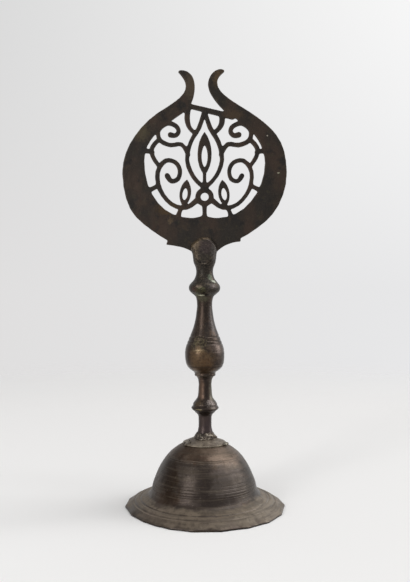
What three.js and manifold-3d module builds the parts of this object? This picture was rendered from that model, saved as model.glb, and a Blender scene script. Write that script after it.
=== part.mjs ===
// An alam: a pierced bronze head with two horns, on a turned stem and a bell-shaped base.
// Millimetres, +Z up. The origin is the middle of the foot, and the head's front faces -Y.
import * as THREE from 'three';
import { mergeVertices, toCreasedNormals } from 'three/addons/utils/BufferGeometryUtils.js';
import Module from 'manifold-3d';

const wasm = await Module();
wasm.setup();

// Driving dimensions: fits
const fit = 0.3; // clearance between a piece and the one it sits in or beside
const spigotRadius = 4; // the spigots that join the turned pieces
const spigotLength = 11;
const tangRadius = 3.6; // the stem's tang, which is riveted over inside the bell

// Driving dimensions: the pierced head
const plateThickness = 4;
const windowHalfWidth = 58; // the pierced field
const ringWidth = 21; // metal between the pierced field and the outer edge, at the sides
const headLiftRatio = 1.066; // of a half width, from the rounded top to the middle of the field
const tongueStep = 1; // the plate's sides stand back by this inside the socket's mouth
const tongueDrop = 2; // and the mouth lies this far below the middle of the rounded top
const barWidth = 4.2; // bars of the openwork
const tieWidth = 4.8; // the slanting tie between the roots of the horns
const roundelRadius = 9;
const roundelHole = 4;
const roundelPercent = -58; // its middle, in hundredths of the half width below the field's middle

// Driving dimensions: the socket that holds the head
const socketLength = 44.9; // from its foot to the middle of its rounded top
const cheekRadius = 12.1;
const cheekDepth = 16; // front to back, over the two flats
const slotDepth = 12.5; // below the middle of the rounded top
const socketNeckRadius = 8.2;
const knopRadius = 15;

// Driving dimensions: the baluster
const balusterLength = 76.9;
const balusterNeckRadius = 7.4;
const neckFlare = 1.7; // by which the neck widens at its joint with the socket
const bellyRadius = 18.9;
const lipRadius = 9.7;
const lipRound = 1.1; // rounding of the lip's under edge
const turnedGroove = 0.5; // depth of the turned lines

// Driving dimensions: the lower stem
const lowerStemLength = 59.5;
const lowerStemRadius = 6.3;
const collarRadius = 13.2;
const footRadius = 9.4;
const footSeat = 1.8; // the flat that the solder takes up round the foot
const rivetRadius = 6;
const rivetHeight = 2.6;

// Driving dimensions: the disc on the crown, and the washer under it
const discRadius = 20.8;
const discThickness = 1.4;
const discEdge = 0.9;
const washerRadius = 8.5;
const washerThickness = 1.6;

// Driving dimensions: the bell-shaped base
const bellHeight = 64; // to its flat crown
const bellWall = 2;
const crownFlatRadius = 10;
const crownFall = [1.6, 4.2]; // halfway from the flat to the disc's edge, and at that edge
const bellRadius = 50.6; // where the wall meets the brim
const brimFillet = 3.8;
const brimHeight = 12.2; // the brim's inner edge above its rim
const rimRadius = 76.5;
const rimThickness = 1.4;
const rimFootWidth = 4.8; // the flat ring that it stands on
const rimTrim = 2; // turned over size by this before the rim's flats are cut
const rimFlats = 18;
const flatHollow = 0.4; // how far each flat of the rim is hollowed
const brimRingRadii = [62.5, 67.2]; // of the two turned steps
const brimRingDrop = 1.2;

// Heights of the joints between the pieces
const stemFootZ = bellHeight + discThickness;
const balusterFootZ = stemFootZ + lowerStemLength;
const socketFootZ = balusterFootZ + balusterLength;
const archZ = socketFootZ + socketLength;
const slotFloorZ = archZ - slotDepth;
const mouthZ = archZ - tongueDrop;
const headHalfWidth = windowHalfWidth + ringWidth;
const headCentreZ = archZ + headLiftRatio * headHalfWidth;

// Facets round a turned piece, and steps between two points of a smooth line
const turnedFacets = 28;
const bellFacets = 3 * rimFlats;
const lineSteps = 3;

// Shapes and solids

const mix = (a, b, share) => a + (b - a) * share;
const vec = ([x, y]) => new THREE.Vector2(x, y);

// A smooth line through the points given, as a list of points
function smooth(points, stepsEach = 1) {
  const line = new THREE.SplineCurve(points.map(vec));
  return line.getPoints((points.length - 1) * stepsEach).map((p) => [p.x, p.y]);
}

// The line moved sideways, to the left of its direction where distance is positive
function parallel(points, distance) {
  return points.map(([x, y], i) => {
    const before = vec(points[Math.max(i - 1, 0)]);
    const after = vec(points[Math.min(i + 1, points.length - 1)]);
    const along = after.sub(before).normalize();
    return [x - along.y * distance, y + along.x * distance];
  });
}

// A closed surface as a solid, without the slivers that a revolve leaves on its axis
function solidOf(geometry) {
  geometry.deleteAttribute('normal');
  geometry.deleteAttribute('uv');
  const merged = mergeVertices(geometry, 1e-4);
  const corners = merged.index.array;
  const faces = [];
  for (let i = 0; i < corners.length; i += 3) {
    const [a, b, c] = [corners[i], corners[i + 1], corners[i + 2]];
    if (a !== b && b !== c && c !== a) faces.push(a, b, c);
  }
  return new wasm.Manifold(new wasm.Mesh({
    numProp: 3,
    vertProperties: merged.attributes.position.array,
    triVerts: new Uint32Array(faces),
  }));
}

// A piece turned on the Z axis from [radius, height] points, listed up its outer side
function turned(profile, facets = turnedFacets) {
  const closed = profile[0][0] > 0 ? [...profile, profile[0]] : profile;
  const geometry = new THREE.LatheGeometry(closed.map(vec), facets);
  return solidOf(geometry.rotateX(Math.PI / 2));
}

// A flat shape drawn in X and Z, made into a plate about the middle plane
function plate(shape, thickness = plateThickness) {
  const settings = { depth: thickness, bevelEnabled: false, curveSegments: 8 };
  const geometry = new THREE.ExtrudeGeometry(shape, settings);
  return solidOf(geometry.translate(0, 0, -thickness / 2).rotateX(Math.PI / 2));
}

function box([x0, y0, z0], [x1, y1, z1]) {
  const geometry = new THREE.BoxGeometry(x1 - x0, y1 - y0, z1 - z0);
  return solidOf(geometry.translate((x0 + x1) / 2, (y0 + y1) / 2, (z0 + z1) / 2));
}

// A round hole or peg along Z
function peg(radius, z0, z1, facets = turnedFacets) {
  return turned([[0, z0], [radius, z0], [radius, z1], [0, z1]], facets);
}

// A blob of solder, flattened along Z
function blob([x, y, z], radius, squash) {
  const geometry = new THREE.SphereGeometry(radius, 8, 5);
  return solidOf(geometry.scale(1, squash, 1).rotateX(Math.PI / 2).translate(x, y, z));
}

const joined = (solids) => solids.reduce((whole, next) => whole.add(next));

// The pierced head

// Its edges are drawn in hundredths of a half width, from the middle of the pierced field
const onHead = (x, z) => [x * headHalfWidth / 100, headCentreZ + z * headHalfWidth / 100];
const inWindow = (x, z) => [x * windowHalfWidth / 100, headCentreZ + z * windowHalfWidth / 100];

// Curved runs of an edge: two handles and an end point each
function trace(shape, place, runs) {
  for (const [ax, az, bx, bz, x, z] of runs) {
    shape.bezierCurveTo(...place(ax, az), ...place(bx, bz), ...place(x, z));
  }
}

// The hand-cut frame: a ring open at the top, where its ends turn out as horns
function frameShape() {
  const shape = new THREE.Shape();
  const tongueHalf = mix(socketNeckRadius, cheekRadius, 0.3);
  const stepZ = mix(mouthZ, slotFloorZ, 0.3);
  shape.moveTo(-tongueHalf, slotFloorZ + fit);
  shape.lineTo(tongueHalf, slotFloorZ + fit);
  shape.lineTo(cheekRadius - tongueStep, stepZ);
  shape.lineTo(cheekRadius, mouthZ);
  trace(shape, onHead, [[22, -103, 32, -97.5, 45, -97]]);
  shape.lineTo(...onHead(45, -93));
  trace(shape, onHead, [
    [75, -81, 100, -53, 100, -13],
    [100, 28, 84, 41.5, 51.5, 63],
    [40, 70.5, 15.5, 83, 15.5, 96],
    [15.3, 102, 18.5, 105.5, 24.3, 110],
    [25.2, 111.6, 23, 113, 19, 113],
    [11.5, 112.8, 4, 104, 4, 94],
    [4.8, 82, 15.5, 70.5, 25.5, 60.5],
  ]);
  shape.lineTo(...inWindow(51.5, 72));
  trace(shape, inWindow, [
    [84, 53, 100, 26, 100, -2],
    [100, -50, 64, -93, 22, -93],
    [14, -93, 3, -91, -1.5, -87.5],
    [-7, -91, -15, -93, -24, -93],
    [-65, -93, -100, -58, -100, 2],
    [-100, 38, -72, 58, -35, 82.5],
  ]);
  shape.lineTo(...onHead(-16.5, 71));
  trace(shape, onHead, [
    [-14, 76, -12, 83, -12, 91],
    [-12, 102, -17, 110.5, -27, 111.5],
    [-30, 111.7, -31.6, 111, -32.2, 109.4],
    [-26.5, 103.5, -23, 98, -23, 92],
    [-23, 81, -36.5, 73, -46.5, 66],
    [-78, 48.5, -100, 18.5, -100, -13],
    [-100, -62, -75.5, -81, -46, -96],
  ]);
  shape.lineTo(...onHead(-47.5, -101));
  shape.bezierCurveTo(...onHead(-35, -101.8), ...onHead(-23, -104.5), -cheekRadius, mouthZ);
  shape.lineTo(tongueStep - cheekRadius, stepZ);
  shape.lineTo(-tongueHalf, slotFloorZ + fit);
  return shape;
}

// A bar of the openwork: a smooth centre line, a width at each of its points, round ends
function barShape(points, widths) {
  const centre = smooth(points, lineSteps);
  const spread = smooth(widths.map((width, i) => [i, width / 2]), lineSteps).map((p) => p[1]);
  const edge = (side) => centre.map((point, i) => {
    const near = [centre[Math.max(i - 1, 0)], point, centre[Math.min(i + 1, centre.length - 1)]];
    return parallel(near, side * spread[i])[1];
  });
  const shape = new THREE.Shape(edge(1).map(vec));
  const cap = (middle, from, radius) => {
    const start = Math.atan2(from[1] - middle[1], from[0] - middle[0]);
    for (const turn of [0.25, 0.5, 0.75]) {
      const angle = start - turn * Math.PI;
      shape.lineTo(middle[0] + radius * Math.cos(angle), middle[1] + radius * Math.sin(angle));
    }
  };
  const right = edge(-1).reverse();
  cap(centre.at(-1), edge(1).at(-1), spread.at(-1));
  right.forEach(([x, y]) => shape.lineTo(x, y));
  cap(centre[0], right.at(-1), spread[0]);
  shape.closePath();
  return shape;
}

// A pointed leaf between two points, as wide as given at its shoulders
function leafShape([x0, z0], [x1, z1], width) {
  const along = vec([x1 - x0, z1 - z0]);
  const across = vec([-along.y, along.x]).normalize().multiplyScalar(0.62 * width);
  const handle = (share, side) => [
    x0 + along.x * share + across.x * side,
    z0 + along.y * share + across.y * side,
  ];
  const shape = new THREE.Shape();
  shape.moveTo(x0, z0);
  shape.bezierCurveTo(...handle(0.2, 1), ...handle(0.75, 1), x1, z1);
  shape.bezierCurveTo(...handle(0.75, -1), ...handle(0.2, -1), x0, z0);
  return shape;
}

// A bar of the openwork with its points in hundredths of the field, and its mirror image
function barPair(points, widths) {
  return [1, -1].map((side) => plate(barShape(points.map(([x, z]) => inWindow(side * x, z)), widths)));
}

function bar(points, widths) {
  return plate(barShape(points.map(([x, z]) => inWindow(x, z)), widths));
}

// A leaf in the same way, with its foot and tip in hundredths of the field
function leafPair([x0, z0], [x1, z1], width, thickness) {
  return [1, -1].map((side) => {
    return plate(leafShape(inWindow(side * x0, z0), inWindow(side * x1, z1), width), thickness);
  });
}

function knot(x, z, radius) {
  const disc = new THREE.Shape().absarc(...inWindow(x, z), radius, 0, 2 * Math.PI);
  return plate(disc);
}

// The openwork: an almond with a bud in it over a roundel, with two scrolls and a leaf on each side
function openwork() {
  const thin = 0.88 * barWidth;
  const stout = 1.25 * barWidth;
  const broad = 1.6 * barWidth;
  const even = (count) => new Array(count).fill(barWidth);
  return joined([
    knot(0, roundelPercent, roundelRadius),
    bar([[0, -70], [0, -84], [0, -98]], [stout, barWidth, broad]),
    ...barPair([[2, -42], [19, -24], [29, 3], [23, 33], [9, 57], [0, 86]], [...even(5), thin]),
    bar([[0, -45], [0, -30], [0, -12]], [stout, thin, thin]),
    plate(leafShape(inWindow(0, -22), inWindow(0, 50), 3.5 * barWidth)),
    ...barPair([[12, -63], [31, -76], [55, -70], [74, -46], [78, -17], [65, 2], [48, -1],
      [41, -14], [44, -28], [55, -32], [62, -23]], [stout, ...even(9), stout]),
    ...leafPair([35, -74], [29, -29], 2.9 * barWidth),
    ...barPair([[38, -76], [42, -84], [46, -98]], [thin, barWidth, broad]),
    ...barPair([[77, -39], [88, -45], [104, -50]], [thin, barWidth, broad]),
    ...barPair([[27, 12], [38, 29], [57, 28], [74, 36], [76.5, 53], [62, 64], [48, 60],
      [43, 51], [48, 44], [57, 45]], [...even(9), stout]),
    ...barPair([[57, 64.5], [60.5, 72], [64, 80]], [thin, barWidth, broad]),
    ...barPair([[75, -8], [86, 9], [87, 24], [75, 38]], [thin, barWidth, barWidth, thin]),
    ...barPair([[86, 16], [95, 18], [108, 20]], [thin, barWidth, broad]),
    bar([[-15, 47], [-25, 57], [-29, 72], [-27, 92]], [thin, barWidth, stout, stout]),
    bar([[15, 47], [25, 57], [29, 67], [28.5, 78.5]], [thin, barWidth, stout, stout]),
  ]);
}

function headPlate() {
  const tieLine = [onHead(-24, 69.4), onHead(4, 62.6), onHead(34, 55.2)];
  const tie = barShape(tieLine, [0.9 * tieWidth, tieWidth, 1.25 * tieWidth]);
  const through = 2 * plateThickness;
  const eye = leafShape(inWindow(0, -9), inWindow(0, 28), 1.5 * barWidth);
  const veins = leafPair([34, -64], [31, -43], 1.2 * barWidth, through);
  const drilled = new THREE.Shape().absarc(...inWindow(0, roundelPercent), roundelHole, 0, 2 * Math.PI);
  return joined([plate(frameShape()), openwork(), plate(tie)])
    .subtract(joined([plate(eye, through), ...veins]))
    .subtract(plate(drilled, through));
}

// The turned stem

// A turned line: three points across a narrow groove in a wall that runs from one point to the next
function groove([r0, z0], [r1, z1], share) {
  const half = turnedGroove / (z1 - z0);
  return [[share - half, 0], [share, turnedGroove], [share + half, 0]]
    .map(([at, depth]) => [mix(r0, r1, at) - depth, mix(z0, z1, at)]);
}

// The socket: a knop and neck under a round top that is filed flat front and back and slotted
function headSocket() {
  const up = (share) => mix(socketFootZ, archZ, share);
  const neckToKnop = (share) => mix(socketNeckRadius, knopRadius, share);
  const neckToCheek = (share) => mix(socketNeckRadius, cheekRadius, share);
  const top = [];
  for (let i = 0; i <= 7; i++) {
    const angle = i * Math.PI / 14;
    top.push([cheekRadius * Math.cos(angle), archZ + cheekRadius * Math.sin(angle)]);
  }
  top[top.length - 1][0] = 0;
  const body = turned([
    [0, up(0)], [balusterNeckRadius + neckFlare, up(0)],
    ...smooth([
      [neckToKnop(0.37), up(0.037)], [neckToKnop(0.86), up(0.105)], [knopRadius, up(0.17)],
      [neckToKnop(0.8), up(0.256)], [neckToKnop(0.33), up(0.345)], [neckToKnop(0.07), up(0.43)],
      [socketNeckRadius, up(0.514)], [neckToCheek(0.09), up(0.6)], [neckToCheek(0.38), up(0.68)],
      [neckToCheek(0.62), up(0.74)], [neckToCheek(0.78), up(0.86)],
    ]),
    ...top,
  ]);
  const wide = 2 * cheekRadius;
  const flatsZ = up(0.67);
  const topZ = archZ + wide;
  const flats = [1, -1].map((side) => box(
    [-wide, Math.min(side * cheekDepth / 2, side * wide), flatsZ],
    [wide, Math.max(side * cheekDepth / 2, side * wide), topZ],
  ));
  const slotHalf = plateThickness / 2 + fit;
  return body
    .subtract(joined(flats))
    .subtract(box([-wide, -slotHalf, slotFloorZ], [wide, slotHalf, topZ]))
    .subtract(peg(spigotRadius + fit, socketFootZ - 1, socketFootZ + spigotLength + fit));
}

function baluster() {
  const up = (share) => mix(balusterFootZ, socketFootZ, share);
  const neckToBelly = (share) => mix(balusterNeckRadius, bellyRadius, share);
  const lipToBelly = (share) => mix(lipRadius, bellyRadius, share);
  const shoulderLow = [neckToBelly(0.91), up(0.373)];
  const shoulderHigh = [neckToBelly(0.6), up(0.49)];
  const body = turned([
    [0, up(0)], [lipRadius - lipRound, up(0)], [lipRadius, up(0.012)], [lipRadius, up(0.03)],
    ...smooth([
      [lipToBelly(0.08), up(0.057)], [lipToBelly(0.375), up(0.086)], [lipToBelly(0.69), up(0.122)],
      [lipToBelly(0.91), up(0.173)], [bellyRadius, up(0.267)], shoulderLow,
    ]),
    ...[0.2, 0.55, 0.9].flatMap((share) => groove(shoulderLow, shoulderHigh, share)),
    ...smooth([
      [neckToBelly(0.434), up(0.549)], [neckToBelly(0.14), up(0.698)], [neckToBelly(0.02), up(0.8)],
      [balusterNeckRadius, up(0.887)], [balusterNeckRadius + neckFlare, up(1)],
    ]),
    [spigotRadius, up(1)], [spigotRadius, up(1) + spigotLength], [0, up(1) + spigotLength],
  ]);
  return body.subtract(peg(spigotRadius + fit, up(0) - 1, up(0) + spigotLength + fit));
}

// The stem's foot, which the solder and the clearance round it follow too
function footLine(clearance = 0) {
  const up = (share) => mix(stemFootZ, balusterFootZ, share);
  const stemToFoot = (share) => mix(lowerStemRadius, footRadius, share) + clearance;
  return [
    [stemToFoot(1), up(0)], [stemToFoot(0.76), up(0.037)], [stemToFoot(0.41), up(0.079)],
    [stemToFoot(0.2), up(0.123)], [stemToFoot(0), up(0.176)],
  ];
}

function lowerStem() {
  const up = (share) => mix(stemFootZ, balusterFootZ, share);
  const stemToCollar = (share) => mix(lowerStemRadius, collarRadius, share);
  const stemToLip = (share) => mix(lowerStemRadius, lipRadius - lipRound, share);
  const rivetZ = bellHeight - bellWall - washerThickness;
  const rivet = [];
  for (let i = 0; i <= 4; i++) {
    const angle = i * Math.PI / 8;
    rivet.push([rivetRadius * Math.sin(angle), rivetZ - rivetHeight * Math.cos(angle)]);
  }
  return turned([
    ...rivet,
    [tangRadius, rivetZ], [tangRadius, up(0)],
    ...footLine(),
    [stemToCollar(0.03), up(0.348)], [stemToCollar(0.13), up(0.38)], [stemToCollar(0.38), up(0.413)],
    [stemToCollar(0.73), up(0.455)], [collarRadius, up(0.486)], [stemToCollar(0.98), up(0.495)],
    [stemToCollar(0.86), up(0.52)], [stemToCollar(0.79), up(0.526)],
    ...smooth([
      [stemToCollar(0.75), up(0.54)], [stemToCollar(0.64), up(0.575)], [stemToCollar(0.42), up(0.608)],
      [stemToCollar(0.23), up(0.64)], [stemToCollar(0.12), up(0.672)], [stemToCollar(0.03), up(0.738)],
      [lowerStemRadius, up(0.834)], [stemToLip(0.04), up(0.9)], [stemToLip(0.42), up(0.965)],
      [stemToLip(1), up(1)],
    ]),
    [spigotRadius, up(1)], [spigotRadius, up(1) + spigotLength], [0, up(1) + spigotLength],
  ]);
}

// The base

// The bell's outer line from its crown down to the brim, without the brim's steps
const bellLine = smooth([
  [crownFlatRadius, bellHeight],
  [mix(crownFlatRadius, discRadius, 0.5), bellHeight - crownFall[0]],
  [discRadius, bellHeight - crownFall[1]],
  [0.587 * bellRadius, mix(brimHeight, bellHeight, 0.81)],
  [0.783 * bellRadius, mix(brimHeight, bellHeight, 0.602)],
  [0.922 * bellRadius, mix(brimHeight, bellHeight, 0.342)],
  [bellRadius, mix(brimHeight, bellHeight, 0.117)],
], 2);

// The brim's outer line: a hollow fillet, then a straight slope to the rim
const slopeFoot = [rimRadius, rimThickness];
const slopeHead = [bellRadius + 1.4 * brimFillet, brimHeight];
const filletLine = [
  [bellRadius + 0.3 * brimFillet, brimHeight + brimFillet],
  [bellRadius + 0.7 * brimFillet, brimHeight + 0.5 * brimFillet],
];
const slopeRun = slopeFoot[0] - slopeHead[0];
const slopeFall = slopeHead[1] - slopeFoot[1];
const slopeZ = (radius) => slopeHead[1] - slopeFall * (radius - slopeHead[0]) / slopeRun;

// The disc's upper line, from the flat under the stem to its edge
const discFlatRadius = footRadius + footSeat;
const discEdgeZ = bellHeight - crownFall[1] + fit + discEdge;
const discLine = [[0, 0], [0.35, 0.31], [0.7, 0.64], [1, 1]].map(([out, down]) => [
  mix(discFlatRadius, discRadius, out), mix(stemFootZ, discEdgeZ, down),
]);

function domeBase() {
  const blank = rimRadius + rimTrim;
  const steps = brimRingRadii.flatMap((radius) => [
    [radius, slopeZ(radius) + brimRingDrop / 2],
    [radius + brimRingDrop / 2, slopeZ(radius) - brimRingDrop / 2],
  ]);
  const outer = [...bellLine, ...filletLine, slopeHead, ...steps, [blank, slopeZ(blank)]];
  const plain = [...bellLine.filter((point, i) => i % 2 === 0), ...filletLine, slopeHead, slopeFoot];
  const footInner = rimRadius - rimFootWidth;
  const inner = parallel(plain, -bellWall).slice(1, -1);
  const underSlope = slopeZ(footInner) - bellWall * Math.hypot(slopeRun, slopeFall) / slopeRun;
  const hole = tangRadius + fit;
  const bell = turned([
    [footInner, 0], [blank, 0], ...outer.reverse(), [hole, bellHeight], [hole, bellHeight - bellWall],
    [crownFlatRadius - bellWall / 4, bellHeight - bellWall], ...inner, [footInner, underSlope],
  ], bellFacets);
  return bell.intersect(rimOutline());
}

// The rim's outline: hollowed flats between corners, as an upright block round the base
function rimOutline() {
  const corner = (i) => {
    const angle = 2 * Math.PI * i / rimFlats;
    return [rimRadius * Math.cos(angle), rimRadius * Math.sin(angle)];
  };
  const shape = new THREE.Shape();
  shape.moveTo(...corner(0));
  for (let i = 0; i < rimFlats; i++) {
    const [x0, y0] = corner(i);
    const [x1, y1] = corner(i + 1);
    const pull = 1 - 2 * flatHollow / rimRadius;
    shape.quadraticCurveTo(pull * (x0 + x1) / 2, pull * (y0 + y1) / 2, x1, y1);
  }
  const settings = { depth: bellHeight + 2, bevelEnabled: false, curveSegments: 3 };
  return solidOf(new THREE.ExtrudeGeometry(shape, settings).translate(0, 0, -1));
}

// The disc soldered over the crown: its underside follows the bell with the clearance
function crownDisc() {
  const hole = tangRadius + fit;
  const underBell = bellLine.slice(1, 5).map(([r, z]) => [r, z + fit]).reverse();
  return turned([
    [hole, bellHeight], [hole, stemFootZ], ...discLine, ...underBell, [crownFlatRadius, bellHeight],
  ].reverse(), 36);
}

function tangWasher() {
  const top = bellHeight - bellWall;
  const hole = tangRadius + fit;
  return turned([[hole, top - washerThickness], [washerRadius, top - washerThickness],
    [washerRadius, top], [hole, top]]);
}

// The solder

// A lumpy fillet of solder round the stem's foot, flat where it lies on the disc
function footSolder() {
  const foot = footLine(fit).slice(0, 3);
  const [topRadius, topZ] = foot[2];
  const at = (out, up) => [mix(topRadius, discFlatRadius, out), mix(stemFootZ, topZ, up)];
  const ring = turned([
    foot[0], at(0.89, 0), at(0.8, 0.3), at(0.5, 0.7), at(0.12, 1), ...foot.slice(1).reverse(),
  ]);
  const lumps = [[-100, 2, 0.3], [-62, 2.3, 0.55], [-28, 2.1, 0.35], [150, 1.9, 0.4], [60, 2, 0.4]]
    .map(([degrees, radius, share]) => {
      const angle = THREE.MathUtils.degToRad(degrees);
      const reach = at(0.56 - share / 4, 0)[0];
      const z = mix(stemFootZ, topZ, share);
      return blob([reach * Math.cos(angle), reach * Math.sin(angle), z], radius, 0.9);
    });
  const stem = turned([[0, bellHeight], [footRadius + fit, bellHeight], ...footLine(fit),
    [lowerStemRadius + fit, balusterFootZ], [0, balusterFootZ]]);
  const disc = peg(discRadius, 0, stemFootZ);
  return joined([ring, ...lumps]).subtract(stem).subtract(disc);
}

// A tack of solder over the disc's edge, clear of the disc and the bell
function discSolder(lumps) {
  const clearOfDisc = turned([[0, 0], [discRadius + fit, 0], ...parallel(discLine, fit).reverse(),
    [0, stemFootZ + fit]], 36);
  const clearOfBell = turned([[0, 0], ...parallel([...bellLine, filletLine[0]], fit).reverse(),
    [0, bellHeight + fit]], bellFacets);
  const blobs = lumps.map(([degrees, out, radius]) => {
    const angle = THREE.MathUtils.degToRad(degrees);
    const reach = discRadius + out;
    return blob([reach * Math.cos(angle), reach * Math.sin(angle), discEdgeZ], radius, 0.7);
  });
  return joined(blobs).subtract(clearOfDisc).subtract(clearOfBell);
}

// Finishes, and the assembly

const finish = (color, roughness, metalness) => () => new THREE.MeshStandardMaterial({
  color, roughness, metalness,
});
const darkBronze = finish(0x3a342e, 0.55, 0.8);
const brownBronze = finish(0x4f4136, 0.5, 0.8);
const dustyBronze = finish(0x5f564b, 0.6, 0.75);
const solder = finish(0x8d8a82, 0.5, 0.8);

const pieces = [
  ['head_plate', headPlate(), darkBronze],
  ['head_socket', headSocket(), darkBronze],
  ['baluster', baluster(), brownBronze],
  ['lower_stem', lowerStem(), brownBronze],
  ['foot_solder', footSolder(), solder],
  ['crown_disc', crownDisc(), dustyBronze],
  ['disc_solder_right', discSolder([[-22, 0, 2.4], [-14, -0.3, 2]]), solder],
  ['disc_solder_left', discSolder([[-150, -0.2, 2.5], [-141, 0.2, 2.2], [-159, 0.1, 2]]), solder],
  ['dome_base', domeBase(), dustyBronze],
  ['tang_washer', tangWasher(), brownBronze],
];

const alam = new THREE.Group();
for (const [name, solid, material] of pieces) {
  const { vertProperties, triVerts } = solid.getMesh();
  const geometry = new THREE.BufferGeometry();
  geometry.setAttribute('position', new THREE.BufferAttribute(vertProperties, 3));
  geometry.setIndex(new THREE.BufferAttribute(triVerts, 1));
  const mesh = new THREE.Mesh(toCreasedNormals(geometry, Math.PI / 6), material());
  mesh.name = name;
  alam.add(mesh);
}

export default alam;
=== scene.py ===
import math
import random

import bmesh
import bpy
from mathutils import Matrix, Vector, noise


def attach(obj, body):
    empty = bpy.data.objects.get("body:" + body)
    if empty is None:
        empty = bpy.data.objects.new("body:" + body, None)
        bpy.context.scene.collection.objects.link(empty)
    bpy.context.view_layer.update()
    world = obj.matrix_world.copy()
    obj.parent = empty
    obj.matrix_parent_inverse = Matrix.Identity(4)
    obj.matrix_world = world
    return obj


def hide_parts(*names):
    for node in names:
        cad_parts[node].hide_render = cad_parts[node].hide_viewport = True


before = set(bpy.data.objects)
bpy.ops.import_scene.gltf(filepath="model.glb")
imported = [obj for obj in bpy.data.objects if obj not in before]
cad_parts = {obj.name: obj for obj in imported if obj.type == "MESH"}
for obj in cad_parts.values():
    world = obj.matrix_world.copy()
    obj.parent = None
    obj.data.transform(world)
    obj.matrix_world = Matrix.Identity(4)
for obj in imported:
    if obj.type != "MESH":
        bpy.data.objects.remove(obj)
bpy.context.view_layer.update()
mm = 0.001
weld = 2e-6  # points nearer than this become one, in metres
sharp = "sharp"  # marks a corner in a profile
print("frame:", len(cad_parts), "solids")


# Mesh tools

def drawProfile(bm, points, stepsEach=8):
    # a smooth line through (radius, height) points in mm, with sharp corners where marked
    curve = bpy.data.curves.new("profile", "CURVE")
    curve.dimensions = "3D"
    curve.resolution_u = stepsEach
    spline = curve.splines.new("BEZIER")
    spline.bezier_points.add(len(points) - 1)
    for knot, (radius, height, *rest) in zip(spline.bezier_points, points):
        knot.co = (radius * mm, 0, height * mm)
    for knot, (radius, height, *corner) in zip(spline.bezier_points, points):  # once all are placed
        knot.handle_left_type = knot.handle_right_type = "VECTOR" if corner else "AUTO"
    holder = bpy.data.objects.new("profile", curve)
    bpy.context.collection.objects.link(holder)
    bpy.context.view_layer.update()
    line = holder.evaluated_get(bpy.context.evaluated_depsgraph_get())
    bm.from_mesh(line.to_mesh())
    line.to_mesh_clear()
    bpy.data.objects.remove(holder)
    bpy.data.curves.remove(curve)


def cutGrooves(bm, grooves, finer=1.5, cuts=5, steep=1.4):
    # turned lines: (height, depth, width) in mm, pressed into the profile before it is spun;
    # first the profile is cut finer, so many widths to each side of the line
    for height, depth, width in grooves:
        near = []
        for edge in bm.edges:
            middle = (edge.verts[0].co.z + edge.verts[1].co.z) / 2
            if abs(middle - height * mm) < finer * width * mm:
                near.append(edge)
        bmesh.ops.subdivide_edges(bm, edges=near, cuts=cuts)
        for vert in bm.verts:
            away = (vert.co.z / mm - height) / (width / 2)
            vert.co.x -= depth * mm * math.exp(-away * away * steep)


def spinProfile(bm, steps):
    bmesh.ops.remove_doubles(bm, verts=bm.verts, dist=weld)
    bmesh.ops.spin(bm, geom=bm.verts[:] + bm.edges[:], cent=(0, 0, 0), axis=(0, 0, 1),
                   angle=2 * math.pi, steps=steps, use_merge=True, use_duplicate=False)
    bmesh.ops.remove_doubles(bm, verts=bm.verts, dist=weld)
    bmesh.ops.recalc_face_normals(bm, faces=bm.faces)


def unevenHand(bm, swells):
    # slow swells and dents of hand work: (size, depth) in mm, along the skin's own normals
    for size, depth in swells:
        bm.normal_update()
        start = Vector((size, 3.7, 1.1))  # each size reads the noise from a place of its own
        for vert in bm.verts:
            shift = noise.noise(vert.co / (size * mm) + start)
            vert.co += vert.normal * shift * depth * mm


def setAside(bm, aside=0.5, low=130, high=150):
    # below the baluster's belly the stem stands a little to the right, all in mm
    for vert in bm.verts:
        vert.co.x += aside * mm * min(1, max(0, (high - vert.co.z / mm) / (high - low)))


def addLump(bm, at, radius, squash=0.8):
    place = Matrix.Translation(Vector(at) * mm) @ Matrix.Diagonal((1, 1, squash, 1))
    bmesh.ops.create_icosphere(bm, subdivisions=3, radius=radius * mm, matrix=place)


def toObject(name, bm):
    mesh = bpy.data.meshes.new(name)
    bm.to_mesh(mesh)
    bm.free()
    piece = bpy.data.objects.new(name, mesh)
    bpy.context.collection.objects.link(piece)
    return piece


def fromObject(piece):
    # the object's shape with its modifiers, as a bmesh again; the object goes
    bm = bmesh.new()
    bm.from_object(piece, bpy.context.evaluated_depsgraph_get())
    mesh = piece.data
    bpy.data.objects.remove(piece)
    bpy.data.meshes.remove(mesh)
    return bm


def fuse(bm, voxel, rounds):
    # melts the overlapping shapes into one skin and softens its corners
    piece = toObject("fusing", bm)
    remesh = piece.modifiers.new("skin", "REMESH")
    remesh.mode = "VOXEL"
    remesh.voxel_size = voxel * mm
    fused = fromObject(piece)
    for i in range(rounds):
        bmesh.ops.smooth_vert(fused, verts=fused.verts, factor=0.5,
                              use_axis_x=True, use_axis_y=True, use_axis_z=True)
    return fused


def finishPiece(name, bm, material, nodes, crease=38):
    piece = toObject(name, bm)
    piece.data.shade_smooth()
    piece.data.set_sharp_from_angle(angle=math.radians(crease))
    piece.data.materials.append(material)
    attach(piece, "root")
    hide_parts(*nodes)
    print(name, len(piece.data.polygons), "faces")


# Material tools

def toLinear(colour):
    # a colour written in sRGB, as the shader's linear one
    channels = [int(colour[i:i + 2], 16) / 255 for i in (1, 3, 5)]
    return [c / 12.92 if c <= 0.04045 else ((c + 0.055) / 1.055) ** 2.4 for c in channels] + [1]


def setInputs(tree, node, inputs):
    for key, value in inputs.items():
        if isinstance(value, bpy.types.NodeSocket):
            tree.links.new(value, node.inputs[key])
        else:
            node.inputs[key].default_value = value


def addNode(tree, kind, inputs, **settings):
    node = tree.nodes.new("ShaderNode" + kind)
    for name, value in settings.items():
        setattr(node, name, value)
    setInputs(tree, node, inputs)
    return node


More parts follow.
